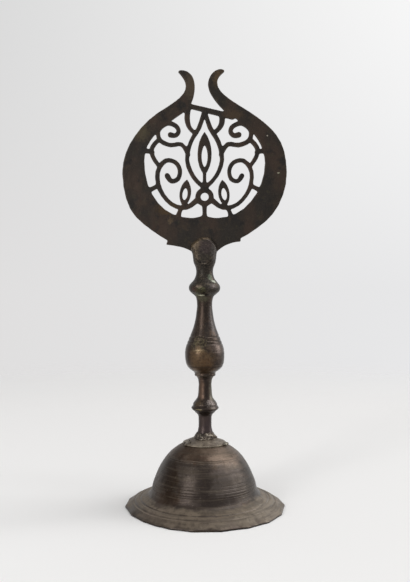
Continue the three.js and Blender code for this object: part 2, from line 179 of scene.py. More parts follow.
layerShift = (0.37, 0.11, 0)  # each layer reads the noise from a place of its own
spotFades = (1.25, 0.75)  # a spot goes from nothing to full between these shares of its radii
bandPitch = 0.314  # from band to band of a wave texture at scale 1


def patina(name, looks):
    # Metal under layers of patina. Each layer is a mottle of one size in mm, laid over the last
    # where its noise is above "over", with its own colour, metallic, roughness and height in mm.
    material = bpy.data.materials.new(name)
    material.use_nodes = True
    tree = material.node_tree
    shader = tree.nodes["Principled BSDF"]
    place = addNode(tree, "TexCoord", {}).outputs["Object"]
    skin = addNode(tree, "NewGeometry", {})

    masks = []
    for index, layer in enumerate(looks["layers"]):
        stretched = addNode(tree, "Mapping", {
            "Vector": place, "Location": [index * shift for shift in layerShift],
            "Scale": [1 / (side * layer["size"] * mm) for side in layer.get("stretch", (1, 1, 1))],
        })
        mottle = addNode(tree, "TexNoise", {
            "Vector": stretched.outputs[0], "Scale": 1, "Detail": layer.get("detail", 4),
            "Roughness": 0.55,
        })
        mask = addNode(tree, "MapRange", {
            "Value": mottle.outputs[0], "From Min": layer["over"][0], "From Max": layer["over"][1],
            "To Max": layer.get("share", 1),
        }, interpolation_type="SMOOTHSTEP")
        masks.append((layer, mask.outputs[0]))

    # dust lies where the surface faces up; edges wear where it turns over them, and where the two
    # values of "over" fall, painted shade darkens it where it turns into a groove
    for layer in looks.get("facing", []):
        up = addNode(tree, "SeparateXYZ", {"Vector": skin.outputs["Normal"]})
        grain = addNode(tree, "TexNoise", {
            "Vector": place, "Scale": 1 / (layer["size"] * mm), "Detail": 5, "Roughness": 0.6,
        })
        lying = addNode(tree, "Math", {0: grain.outputs[0], 1: layer["ragged"], 2: up.outputs[2]},
                        operation="MULTIPLY_ADD")
        mask = addNode(tree, "MapRange", {
            "Value": lying.outputs[0], "From Min": layer["over"][0], "From Max": layer["over"][1],
            "To Max": layer.get("share", 1),
        }, interpolation_type="SMOOTHSTEP")
        masks.append((layer, mask.outputs[0]))
    for layer in looks.get("edges", []):
        mask = addNode(tree, "MapRange", {
            "Value": skin.outputs["Pointiness"],
            "From Min": layer["over"][0], "From Max": layer["over"][1],
            "To Max": layer.get("share", 1),
        })
        masks.append((layer, mask.outputs[0]))

    # single marks, of patina and of painted highlights and shade: an oval about a point on the skin,
    # ragged at its edge
    for spot in looks.get("spots", []):
        middle = [side * mm for side in spot["at"]]
        radii = [side * mm for side in spot["radii"]]
        moved = addNode(tree, "VectorMath", {0: place, 1: middle}, operation="SUBTRACT")
        scaled = addNode(tree, "VectorMath", {0: moved.outputs[0], 1: radii}, operation="DIVIDE")
        away = addNode(tree, "VectorMath", {0: scaled.outputs[0]}, operation="LENGTH")
        grain = addNode(tree, "TexNoise", {
            "Vector": place, "Scale": 1 / (spot.get("size", 2) * mm), "Detail": 4,
        })
        edge = addNode(tree, "Math", {0: grain.outputs[0], 1: spot.get("ragged", 1), 2: away.outputs[1]},
                       operation="MULTIPLY_ADD")
        mask = addNode(tree, "MapRange", {
            "Value": edge.outputs[0], "From Min": spotFades[0], "From Max": spotFades[1],
            "To Max": spot.get("share", 1),
        }, interpolation_type="SMOOTHSTEP")
        masks.append((spot, mask.outputs[0]))

    masks.sort(key=lambda pair: pair[0].get("last", False))  # those marked last lie over the dust
    colour = toLinear(looks["colour"])
    metallic, roughness, height = looks["metallic"], looks["roughness"], 0
    for layer, mask in masks:  # a Mix node takes numbers in 2 and 3, colours in 6 and 7
        colour = addNode(tree, "Mix", {0: mask, 6: colour, 7: toLinear(layer["colour"])},
                         data_type="RGBA").outputs[2]
        if "metallic" in layer:
            metallic = addNode(tree, "Mix", {0: mask, 2: metallic, 3: layer["metallic"]}).outputs[0]
        if "roughness" in layer:
            roughness = addNode(tree, "Mix", {0: mask, 2: roughness, 3: layer["roughness"]}).outputs[0]
        if "height" in layer:
            height = addNode(tree, "Math", {0: mask, 1: layer["height"], 2: height},
                             operation="MULTIPLY_ADD").outputs[0]
    if "toolLines" in looks:  # the turning tool's fine rings, drawn as coarse as they need to show
        lines = looks["toolLines"]
        rings = addNode(tree, "TexWave", {
            "Vector": place, "Scale": bandPitch / (lines["pitch"] * mm), "Distortion": lines["waver"],
            "Detail": 3, "Detail Scale": 0.35, "Detail Roughness": 0.6,
        }, bands_direction="Z")
        height = addNode(tree, "Math", {0: rings.outputs[1], 1: lines["height"], 2: height},
                         operation="MULTIPLY_ADD").outputs[0]
    bump = addNode(tree, "Bump", {"Height": height, "Distance": mm, "Strength": 1})
    setInputs(tree, shader, {"Base Color": colour, "Metallic": metallic, "Roughness": roughness,
                             "Normal": bump.outputs[0]})
    return material


# The pierced head: a cast and filed plate, its window edges rounded by hand

head = {
    "weld": 1e-6,  # in metres
    "voxel": 0.65,
    "rounds": 3,
    "swells": [(26, 0.35), (7, 0.14), (2.4, 0.05)],
    "drawnIn": (264, 11, 0.04),  # the plate's low shoulders: height, spread and share
}
castBronze = patina("castBronzeBlackPatina", {
    # cast bronze gone brown-black: near black with browner streaks, faint casting grain, dull sheen
    "colour": "#27231f", "metallic": 0.75, "roughness": 0.5,
    "layers": [
        {"size": 34, "over": (0.42, 0.62), "colour": "#362b24", "roughness": 0.47, "stretch": (1, 1, 1.8)},
        {"size": 15, "over": (0.5, 0.64), "colour": "#211e1c", "roughness": 0.55},
        {"size": 8, "over": (0.54, 0.68), "colour": "#3a3026", "share": 0.6},
        {"size": 5, "over": (0.56, 0.7), "colour": "#343025", "share": 0.7, "roughness": 0.6},
        {"size": 2, "over": (0.6, 0.74), "colour": "#1e1b18", "share": 0.6, "height": -0.05},
        {"size": 1.3, "over": (0.56, 0.75), "colour": "#453d34", "share": 0.55, "height": 0.05},
    ],
    "edges": [{"over": (0.515, 0.56), "colour": "#53483c", "share": 0.5, "roughness": 0.4}],
    "spots": [
        {"at": (-33, -2, 274), "radii": (6, 6, 7), "colour": "#544636", "share": 0.7, "ragged": 1.3},
        {"at": (-36, -2, 286), "radii": (20, 8, 12), "colour": "#47361f", "share": 0.55},
        {"at": (15, -2, 411), "radii": (13, 8, 16), "colour": "#4e3f2d", "share": 0.75},
        {"at": (-13, -2, 404), "radii": (12, 8, 24), "colour": "#4d4234", "share": 0.6},
        {"at": (28, -2, 376), "radii": (18, 8, 9), "colour": "#433526", "share": 0.6},
        {"at": (-61, -2, 360), "radii": (14, 8, 17), "colour": "#494230", "share": 0.5},
        {"at": (60.2, -2, 355.8), "radii": (1.7, 2, 1.1), "size": 0.8, "colour": "#989184", "share": 0.8},
        {"at": (71, -2, 320), "radii": (2.1, 2, 1.2), "size": 0.8, "colour": "#96927f", "share": 0.8},
    ],
})


def makeHead():
    bm = bmesh.new()
    bm.from_mesh(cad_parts["head_plate"].data)
    bmesh.ops.remove_doubles(bm, verts=bm.verts, dist=head["weld"])
    bm = fuse(bm, head["voxel"], head["rounds"])
    unevenHand(bm, head["swells"])
    level, spread, share = head["drawnIn"]
    for vert in bm.verts:
        away = (vert.co.z / mm - level) / spread
        vert.co.x *= 1 - share * math.exp(-away * away)
    finishPiece("headPlate", bm, castBronze, ["head_plate"], crease=60)


makeHead()


# The socket: turned knop and neck under a round cheek, filed flat front and back, slotted for the head

socket = {
    "profile": [
        (0, 213.1), (4.3, 213.1, sharp), (4.3, 201.8, sharp), (9.1, 201.8, sharp),
        (9.6, 202.5), (10.7, 203.4, sharp), (12.6, 204.9), (14.1, 206.6), (15, 209.3),
        (14.5, 211.9), (13, 214), (11.1, 216.3), (9.6, 218.7), (8.7, 221.3), (8.2, 224.3),
        (8.3, 227.4), (8.9, 229.9), (9.9, 232.3), (10.8, 234.8), (11.2, 237.6), (11.5, 240.9),
        (12, 244.6), (12.1, 246.9), (11.75, 249.6), (10.7, 252.4), (8.7, 255.1), (6.1, 257.2),
        (3.1, 258.4), (0, 258.8),
    ],
    "steps": 120,
    "flat": 8,  # from the middle to the filed flats, front and back
    "worn": 1.1,  # how far their borders are rounded off
    "flatFoot": (231.9, 0.09),  # its height in the middle, and how fast it curves up to the sides
    "shoulder": (250, 7, 2.4, 2),  # the left shoulder stands out: height, spread, reach, steepness
    "shoulderFoot": 2,  # spreads down to where it ends
    "halfWidth": 12,
    "slot": 2.25,  # half its width
    "slotFloor": 234.2,
    "slotCutter": (20, 270),  # reaches this far to the sides, and up to this height
    "swells": [(14, 0.3), (4, 0.14)],
}
socketBronze = patina("turnedBronzeGreenedPatina", {
    # turned bronze, handled dark, with olive and whitish verdigris lodged in the knop's hollows, and
    # highlights and shade painted on the cheek, lip, neck and knop
    "colour": "#2c2722", "metallic": 0.75, "roughness": 0.42,
    "layers": [
        {"size": 16, "over": (0.45, 0.65), "colour": "#29231f", "stretch": (1, 1, 1.6)},
        {"size": 4.5, "over": (0.5, 0.64), "colour": "#493f35", "share": 0.85, "roughness": 0.36},
        {"size": 3.2, "over": (0.55, 0.67), "colour": "#1b1613", "share": 0.8, "height": -0.14},
        {"size": 2.6, "over": (0.6, 0.7), "colour": "#403e2b", "share": 0.8, "roughness": 0.6,
         "height": 0.06},
        {"size": 1.1, "over": (0.58, 0.72), "colour": "#5f5447", "share": 0.5, "height": 0.05},
        {"size": 2.3, "over": (0.5, 0.6), "colour": "#1f1915", "share": 0.55, "height": -0.08,
         "stretch": (1, 1, 0.7), "last": True},
        {"size": 1.1, "over": (0.56, 0.68), "colour": "#6c6354", "share": 0.35, "height": 0.05,
         "last": True},
    ],
    # painted shade where the surface turns into grooves and creases
    "edges": [{"over": (0.49, 0.44), "colour": "#1b1713", "share": 0.8, "roughness": 0.6}],
    "spots": [
        {"at": (-9, -6, 253), "radii": (12, 12, 13), "colour": "#6f5f4a", "share": 0.8},  # painted highlight on the arch's upper left, where light falls on its rounded edge
        # painted highlight along the arch's top, lit from above
        {"at": (-1, -5, 258.5), "radii": (18, 12, 5.5), "colour": "#94816a", "share": 0.8},
        {"at": (0.8, -8, 249), "radii": (15, 5, 13), "colour": "#3a3130", "share": 0.85, "size": 4},
        # painted highlight on the lip at the foot of the flat, and painted shadow under it
        {"at": (-1.5, -8.4, 232.7), "radii": (7.5, 4, 1.6), "colour": "#73695e", "share": 0.8, "size": 3},
        {"at": (0, -8.4, 230.9), "radii": (9, 4, 1.8), "colour": "#1a1512", "share": 0.8, "size": 3},
        # painted sheen on the cheek's rounded sides, warm on the left and grey on the right
        {"at": (-9, -7, 243), "radii": (6, 9, 14), "colour": "#4e4336", "share": 0.7},
        {"at": (9, -7, 243), "radii": (6, 9, 16), "colour": "#4b4744", "share": 0.7},
        # painted shade on the neck under the cheek's lip
        {"at": (1, -10, 225), "radii": (16, 12, 10), "colour": "#1f1b16", "share": 0.85},
        {"at": (5.5, -7.4, 219.3), "radii": (7.5, 7, 8), "colour": "#5b6252", "share": 0.75,
         "size": 1.4, "ragged": 1.4},
        {"at": (8.8, -7.6, 215.6), "radii": (6.5, 5, 2.6), "colour": "#c3c7b5", "size": 1.1, "ragged": 1.2,
         "metallic": 0.1, "roughness": 0.5},  # verdigris in the hollow over the knop
        # painted grey sheen on the knop's right side
        {"at": (8, -12.4, 211), "radii": (9, 8, 5), "colour": "#625a58", "share": 0.7, "size": 1.5,
         "ragged": 1.2},
        {"at": (-5.6, -13.3, 211.2), "radii": (7, 5, 3), "colour": "#6f6152", "share": 0.75,
         "size": 1.2, "ragged": 1.2},
        {"at": (-3, -14.4, 208.9), "radii": (6, 5, 2.2), "colour": "#625f48", "size": 1.2},
        {"at": (-4.6, -13.8, 206.8), "radii": (12, 8, 6), "colour": "#35331e", "share": 0.85},
        {"at": (-10.3, -10.5, 208.3), "radii": (9, 7, 6), "colour": "#44291f", "share": 0.6,
         "size": 1.5, "ragged": 1.2},
        {"at": (-6.8, -7.5, 203), "radii": (4, 5, 6), "colour": "#5a5a41", "share": 0.8},
        {"at": (-3.2, -9, 202.6), "radii": (5, 4, 1), "colour": "#b4b29a", "ragged": 0.7, "size": 1.2},
    ],
})


def cutSlot(bm, low, high):
    cutter = bmesh.new()
    middle = (Vector(low) + Vector(high)) / 2 * mm
    size = (Vector(high) - Vector(low)) * mm
    bmesh.ops.create_cube(cutter, size=1, matrix=Matrix.LocRotScale(middle, None, size))
    cutterPiece = toObject("slotCutter", cutter)
    piece = toObject("slotted", bm)
    cut = piece.modifiers.new("slot", "BOOLEAN")
    cut.object = cutterPiece
    cut.solver = "EXACT"
    bpy.context.view_layer.update()
    cutBm = fromObject(piece)
    bpy.data.objects.remove(cutterPiece)
    return cutBm


def makeSocket():
    bm = bmesh.new()
    drawProfile(bm, socket["profile"])
    spinProfile(bm, socket["steps"])
    unevenHand(bm, socket["swells"])
    flat, worn = socket["flat"] * mm, socket["worn"] * mm
    foot, curve = socket["flatFoot"]
    level, spread, reach, steep = socket["shoulder"]
    for vert in bm.verts:
        if vert.co.x < 0 and vert.co.z / mm > level - socket["shoulderFoot"] * spread:
            away = (vert.co.z / mm - level) / spread
            vert.co.x *= 1 + reach / socket["halfWidth"] * math.exp(-away * away * steep)
        if vert.co.z / mm > foot + curve * (vert.co.x / mm) ** 2:  # filed flat, and worn at its border
            depth = -worn * math.log(math.exp(-abs(vert.co.y) / worn) + math.exp(-flat / worn))
            vert.co.y = math.copysign(depth, vert.co.y)
    side, top = socket["slotCutter"]
    bm = cutSlot(bm, (-side, -socket["slot"], socket["slotFloor"]), (side, socket["slot"], top))
    finishPiece("headSocket", bm, socketBronze, ["head_socket"])


makeSocket()


# The baluster: a turned swelling with rings on its shoulder and a lip at its foot

baluster = {
    "profile": [
        (0, 136.2), (4.3, 136.2, sharp), (4.3, 124.9, sharp), (8.6, 124.9, sharp),
        (9.6, 125.3), (10, 126.3), (9.8, 127.4), (10.1, 128.2, sharp), (10.8, 129.2), (12.9, 130.6),
        (15.2, 132.5), (16.8, 134.4), (18.3, 138.2), (19, 145.2), (18.7, 150.2), (17.5, 154.5),
        (15.6, 159.6), (12.6, 167), (10.6, 172.8), (9.1, 178.8), (8, 185.8), (7.4, 193.1),
        (7.8, 197.9), (8.6, 200.8), (9.1, 201.8, sharp), (4, 201.8, sharp), (4, 212.8, sharp), (0, 212.8),
    ],
    "grooves": [(163.2, 0.4, 1.3), (159.4, 0.42, 1.4), (156.3, 0.36, 1.2), (149.4, 0.2, 1),
                (135.6, 0.2, 1), (192.3, 0.12, 0.9), (178.4, 0.1, 0.8)],
    "steps": 128,
    "swells": [(22, 0.25), (6, 0.1)],
}
balusterBronze = patina("turnedBronzeBrownPatina", {
    # turned bronze worn brown: warm where it is handled, with painted shade in the turned lines and
    # painted highlights and shade along its sides
    "colour": "#372d27", "metallic": 0.75, "roughness": 0.32,
    "layers": [
        {"size": 24, "over": (0.42, 0.62), "colour": "#2a221d"},
        {"size": 7, "over": (0.5, 0.66), "colour": "#483a30", "share": 0.8, "roughness": 0.3},
        {"size": 4, "over": (0.54, 0.68), "colour": "#231b16", "share": 0.6, "stretch": (1, 1, 0.6)},
        {"size": 2.2, "over": (0.57, 0.72), "colour": "#1f1712", "share": 0.7, "height": -0.09,
         "roughness": 0.55},
        {"size": 0.9, "over": (0.56, 0.74), "colour": "#5d5043", "share": 0.5, "height": 0.04},
        {"size": 2.6, "over": (0.52, 0.64), "colour": "#241a13", "share": 0.45, "stretch": (1, 1, 0.7),
         "last": True},
        {"size": 1.1, "over": (0.56, 0.7), "colour": "#76664f", "share": 0.3, "last": True},
    ],
    # the first: painted shade where the surface turns into grooves and creases
    "edges": [{"over": (0.49, 0.45), "colour": "#15100d", "share": 0.9, "roughness": 0.6},
              {"over": (0.51, 0.54), "colour": "#84746b", "share": 0.5, "roughness": 0.32}],
    "spots": [
        {"at": (-6, -16.5, 158), "radii": (21, 15, 17), "colour": "#655c45", "size": 1.4, "ragged": 1.6,
         "roughness": 0.6, "height": 0.1},  # pitted, tarnished olive
        {"at": (-4, -16.5, 158), "radii": (18, 15, 15), "colour": "#211a13", "size": 1.7, "ragged": 1.5,
         "share": 0.8, "height": -0.08},
        # painted warm highlight on the belly's left
        {"at": (-6, -17.6, 150.4), "radii": (12, 7, 3.2), "colour": "#8a7a60", "share": 0.65, "size": 1.3},
        {"at": (-5, -17, 141), "radii": (26, 14, 22), "colour": "#5a4630", "share": 0.75, "size": 6},
        {"at": (1, -17, 139), "radii": (20, 12, 14), "colour": "#4a341f", "share": 0.65, "size": 2.2,
         "ragged": 1.4},
        # painted light on the underside above the lip, where it faces the floor
        {"at": (-2, -13, 131.5), "radii": (30, 14, 6), "colour": "#5f4b37", "share": 0.8, "size": 2},
        {"at": (-1, -16, 134.6), "radii": (30, 14, 1.5), "colour": "#231811", "share": 0.6, "ragged": 0.9},
        # painted grey sheen on the lower belly's right side
        {"at": (15, -11, 140), "radii": (18, 16, 16), "colour": "#4b4039", "share": 0.6, "size": 1.8,
         "ragged": 1.3},
        # painted grey sheen on the upper belly's right side
        {"at": (15, -12, 152), "radii": (20, 16, 9), "colour": "#5e524c", "share": 0.6, "size": 4},
        # painted grey sheen on the neck's right side
        {"at": (8.5, -6, 178), "radii": (9, 9, 38), "colour": "#434040", "share": 0.7},
        {"at": (-3, -7, 184), "radii": (6, 7, 40), "colour": "#372a21", "share": 0.6, "size": 3,
         "roughness": 0.42},
        # painted shade: a dark stripe down the neck's middle, between the highlights
        {"at": (1.5, -8, 184), "radii": (4.4, 6, 42), "colour": "#1e1713", "share": 0.8, "size": 3},
        {"at": (2, -11, 168), "radii": (5, 9, 14), "colour": "#2a2522", "share": 0.7, "size": 3},
        # painted shade on the belly's left edge
        {"at": (-17, -8, 148), "radii": (9, 16, 24), "colour": "#33261b", "share": 0.7, "metallic": 0.95},
        {"at": (-2.5, -8, 199.5), "radii": (13, 9, 6), "colour": "#4b4939", "share": 0.7, "size": 1.5},
        # painted highlight on the lip's left
        {"at": (-7, -8, 127.5), "radii": (5, 6, 8), "colour": "#6b6055", "share": 0.7, "size": 3},
    ],
    "toolLines": {"pitch": 1.6, "waver": 1.5, "height": 0.012},
})


def makeBaluster():
    bm = bmesh.new()
    drawProfile(bm, baluster["profile"])
    cutGrooves(bm, baluster["grooves"])
    spinProfile(bm, baluster["steps"])
    unevenHand(bm, baluster["swells"])
    setAside(bm)
    finishPiece("turnedBaluster", bm, balusterBronze, ["baluster"])


makeBaluster()


# The lower stem, with its sharp collar and flared foot, and the tang riveted over inside the bell

lowerStem = {
    "profile": [
        (0, 57.8), (2.3, 58.05), (4.3, 58.7), (5.6, 59.6), (6, 60.4, sharp), (3.6, 60.4, sharp),
        (3.6, 65.4, sharp), (9.4, 65.4, sharp), (8.8, 67.6), (7.7, 70.1), (7, 72.7), (6.35, 75.9),
        (6.2, 79), (6.25, 83.5), (6.45, 86.2), (7.1, 87.9), (8.8, 89.6), (10.7, 91.6), (11.6, 92.3, sharp),
        (12.1, 92.7), (12.1, 93.2, sharp), (12.9, 93.6), (13.2, 94.2), (13, 94.9), (12.3, 96.1, sharp),
        (11.6, 96.5), (11.6, 96.9, sharp), (11.7, 97.4), (10.9, 99.6), (9.3, 101.6), (7.9, 103.5),
        (7.1, 105.4), (6.6, 109.2), (6.35, 114), (6.35, 118.9), (7.2, 122.8), (8.6, 124.9, sharp),
        (4, 124.9, sharp), (4, 135.9, sharp), (0, 135.9),
    ],
    "grooves": [(99.8, 0.2, 0.8), (121.6, 0.15, 0.8)],
    "steps": 112,
    "swells": [(16, 0.2), (4, 0.08)],
}
stemBronze = patina("turnedBronzeDarkStem", {
    # the same turned bronze, darker and more purple below the collar, with highlights and shade painted on
    # its sides
    "colour": "#392f29", "metallic": 0.75, "roughness": 0.34,
    "layers": [
        {"size": 20, "over": (0.42, 0.64), "colour": "#2a221e"},
        {"size": 6, "over": (0.5, 0.7), "colour": "#45372d", "share": 0.8},
        {"size": 2, "over": (0.58, 0.74), "colour": "#201814", "share": 0.7, "height": -0.07,
         "roughness": 0.55},
        {"size": 0.9, "over": (0.55, 0.75), "colour": "#584b3f", "share": 0.5, "height": 0.04},
    ],
    # the first: painted shade where the surface turns into grooves and creases
    "edges": [{"over": (0.49, 0.44), "colour": "#16110e", "share": 0.95, "roughness": 0.6},
              {"over": (0.515, 0.56), "colour": "#7a6b59", "share": 0.6, "roughness": 0.35}],
    "spots": [
        {"at": (0, 0, 79), "radii": (400, 400, 18), "colour": "#392f30", "share": 0.7},  # purple below
        # painted highlight down the stem's left side, above the collar and, toned down, below it
        {"at": (-3, -5.5, 112), "radii": (7, 6, 24), "colour": "#574437", "share": 0.8, "size": 4,
         "roughness": 0.42},
        {"at": (-3, -5.5, 81), "radii": (7, 6, 22), "colour": "#3f3430", "share": 0.7, "size": 4,
         "roughness": 0.42},
        # painted sheen down the stem's right edge
        {"at": (7, -2, 110), "radii": (6, 9, 24), "colour": "#5b574c", "share": 0.8},
        # painted grey sheen on the collar's upper right
        {"at": (6.2, -7.8, 99), "radii": (13, 10, 9), "colour": "#6c6460", "share": 0.8, "size": 1.3,
         "ragged": 1.3},
        {"at": (7.8, -9.8, 95), "radii": (6, 4, 2), "colour": "#5d5650", "size": 1.2, "roughness": 0.5},
        {"at": (-6, -11.5, 93.9), "radii": (8, 6, 1.3), "colour": "#6e644b", "size": 1.2},
        # painted shade: a dark stripe down the stem's middle
        {"at": (1.5, -6, 112), "radii": (4, 5, 26), "colour": "#231b17", "share": 0.75, "size": 3},
        {"at": (-6, -8, 99), "radii": (12, 9, 9), "colour": "#4e402e", "share": 0.75, "size": 1.3,
         "ragged": 1.4, "height": 0.1},
    ],
    "toolLines": {"pitch": 1.6, "waver": 1.5, "height": 0.012},
})


def makeLowerStem():
    bm = bmesh.new()
    drawProfile(bm, lowerStem["profile"])
    cutGrooves(bm, lowerStem["grooves"])
    spinProfile(bm, lowerStem["steps"])
    unevenHand(bm, lowerStem["swells"])
    setAside(bm)
    finishPiece("lowerStem", bm, stemBronze, ["lower_stem"])


makeLowerStem()


# The bell-shaped base: turned rings, a stepped brim, and a rim trimmed to flats by hand

bell = {
    "outside": [
        (3.9, 62, sharp), (3.9, 64, sharp), (10, 64), (15.4, 62.4), (20.8, 59.8), (29.8, 54.2),
        (35.3, 49.1), (39.6, 43.4), (43.6, 36.6), (46.7, 29.9), (49.1, 24.1), (50.6, 18.3), (51.6, 15.5),
        (53.3, 13.2), (56, 11.5), (59, 10.1), (60.7, 9.3), (61.5, 8.55), (62.2, 8.3), (63, 8.5),
        (64.2, 8.15), (66, 7.15), (66.9, 6.4), (67.5, 6.1), (68.3, 6.15), (69.4, 5.65), (72, 4.2),
        (75.5, 2.3), (76.4, 1.55), (76.6, 0.8), (76.2, 0, sharp), (71.5, 0, sharp),
    ],
    "inside": [
        (71.5, 0, sharp), (71.5, 1.5, sharp), (62.4, 6.4), (55.4, 9.9), (52, 11.6), (50, 14.5),
        (48.8, 17.8), (47.1, 23.5), (44.8, 29.2), (41.8, 35.7), (37.9, 42.2), (33.7, 47.7),
        (28.4, 52.7), (19.9, 58), (14.7, 60.5), (9.5, 62), (3.9, 62, sharp),
    ],
    "grooves": [(50.1, 0.3, 0.8), (48.7, 0.25, 0.7), (30, 0.12, 0.7), (27.3, 0.22, 0.7), (24.6, 0.26, 0.8),
                (22.2, 0.22, 0.7), (20.2, 0.18, 0.7)],
    "steps": 270,
    # the rim's corners, in degrees round from the right: the flats between them differ in length
    "corners": [13.6, 30, 47, 65, 82, 100, 117, 135, 152, 167, 185, 205, 222, 235, 247, 262, 281, 300,
                318, 337, 358],
    "cornerRadius": 77,
    "uneven": 0.4,  # a corner may be this much further in
    "seed": 11,
    # cut deeper, or less deep, about some angles: angle and spread in degrees, depth in mm
    "trimmedMore": [(218, 32, 3), (14, 12, 1.3), (320, 24, -0.8)],
    "trimmedFrom": 68,  # nothing moves nearer the middle than this
    "hollow": 0.2,  # of a flat, at its middle
    "aside": 0.4,  # the wall stands this much to the left
    "asideWithin": (50, 62),  # wholly within the first radius, and no more at the second
    "footBelow": 0.01,  # what lies lower than this is the ring that it stands on
    "swells": [(38, 0.6), (11, 0.2), (4, 0.06)],
}
bellBronze = patina("turnedBronzeDusty", {
    # sheet bronze, turned and left to dull: purple-brown and grey on the wall, dust on the brim, and
    # highlights and shade painted on both
    "colour": "#352c26", "metallic": 0.7, "roughness": 0.38,
    "layers": [
        {"size": 42, "over": (0.4, 0.62), "colour": "#2e2721"},
        {"size": 16, "over": (0.5, 0.7), "colour": "#433833", "share": 0.8, "stretch": (1.6, 1.6, 0.5)},
        {"size": 8, "over": (0.56, 0.74), "colour": "#453322", "share": 0.6, "roughness": 0.55},
        {"size": 16, "over": (0.5, 0.66), "colour": "#4b423c", "share": 0.45, "stretch": (2.4, 2.4, 0.14),
         "roughness": 0.34, "height": 0.02, "detail": 2},  # streaks left by turning
        {"size": 14, "over": (0.54, 0.68), "colour": "#1f1813", "share": 0.5, "stretch": (2.4, 2.4, 0.13),
         "height": -0.02, "detail": 2},
        {"size": 5, "over": (0.56, 0.68), "colour": "#50463f", "share": 0.4, "roughness": 0.5},
        {"size": 2.4, "over": (0.56, 0.7), "colour": "#241d18", "share": 0.6, "height": -0.08},
        {"size": 1, "over": (0.56, 0.76), "colour": "#63584d", "share": 0.45, "height": 0.04},
        {"size": 15, "over": (0.5, 0.64), "colour": "#473e34", "share": 0.5, "stretch": (2.4, 2.4, 0.13),
         "detail": 2, "last": True},
        {"size": 3.5, "over": (0.54, 0.68), "colour": "#332b22", "share": 0.45, "last": True},
        {"size": 2, "over": (0.62, 0.74), "colour": "#8a7f70", "share": 0.2, "last": True},
    ],
    "facing": [{"size": 7, "ragged": 0.5, "over": (0.95, 1.23), "colour": "#695d4e", "share": 0.9,
                "metallic": 0.25, "roughness": 0.65}],
    # the first: painted shade where the surface turns into grooves and creases
    "edges": [{"over": (0.49, 0.45), "colour": "#1a1410", "share": 0.85, "roughness": 0.6},
              {"over": (0.508, 0.53), "colour": "#877b6d", "share": 0.5, "roughness": 0.4}],
    "spots": [
        {"at": (0, 0, 57), "radii": (400, 400, 15), "colour": "#453428", "share": 0.65, "size": 9,
         "metallic": 0.9},
        # painted highlight on the dome's upper right
        {"at": (25, -20, 55), "radii": (44, 44, 22), "colour": "#75665a", "share": 0.6, "size": 9,
         "roughness": 0.46},
        # painted shade on the dome's upper left, under the disc
        {"at": (-21, -15, 58), "radii": (24, 26, 12), "colour": "#38291e", "share": 0.8, "size": 6,
         "metallic": 0.95, "roughness": 0.5},
        {"at": (-36, -34, 18), "radii": (36, 30, 14), "colour": "#35261a", "share": 0.85, "size": 4},
        # painted sheen, pitted, on the dome's left
        {"at": (-14, -38, 41), "radii": (28, 20, 16), "colour": "#585047", "share": 0.2, "size": 1.8,
         "ragged": 1.5},
        # painted shade on the dome's lower left
        {"at": (-19, -43, 30), "radii": (24, 30, 30), "colour": "#2b231d", "share": 0.55, "size": 2.4,
         "ragged": 1.4},
        # painted sheen on the dome's right
        {"at": (21, -42, 30), "radii": (28, 30, 36), "colour": "#5d5550", "share": 0.4, "size": 7},
        # painted shade down the dome's left side
        {"at": (-31, -31, 34), "radii": (17, 44, 48), "colour": "#23180f", "share": 0.8, "size": 6,
         "metallic": 0.95, "roughness": 0.46},
        # painted shade down the dome's middle
        {"at": (-1, -45, 30), "radii": (14, 40, 34), "colour": "#241b17", "share": 0.75, "size": 6},
        # painted shade on the fillet at the dome's front foot
        {"at": (0, -50, 18), "radii": (70, 30, 12), "colour": "#261d19", "share": 0.7, "size": 8},
        # painted light on the brim's front left
        {"at": (-36, -52, 4), "radii": (56, 44, 15), "colour": "#76685a", "share": 0.3, "size": 5},
        # painted light on the brim's front right
        {"at": (34, -58, 5), "radii": (20, 16, 8), "colour": "#7d7263", "share": 0.35, "size": 5},
        {"at": (-42, -37, 13), "radii": (16, 18, 9), "colour": "#33251a", "share": 0.75, "size": 4,
         "ragged": 1.2, "roughness": 0.55, "last": True},
        # painted shade on the dome's left edge
        {"at": (-50, -14, 30), "radii": (12, 34, 30), "colour": "#2c2015", "share": 0.6, "size": 5,
         "metallic": 0.95, "roughness": 0.55, "last": True},
        # painted light on the brim's right side
        {"at": (60, -22, 4), "radii": (56, 70, 17), "colour": "#8f8476", "share": 0.55, "size": 6},
        {"at": (0, 0, -0.3), "radii": (400, 400, 2.3), "colour": "#1d1713", "ragged": 0.5},  # painted shadow on the rim's edge
    ],
    "toolLines": {"pitch": 3.2, "waver": 1.2, "height": 0.012},
})


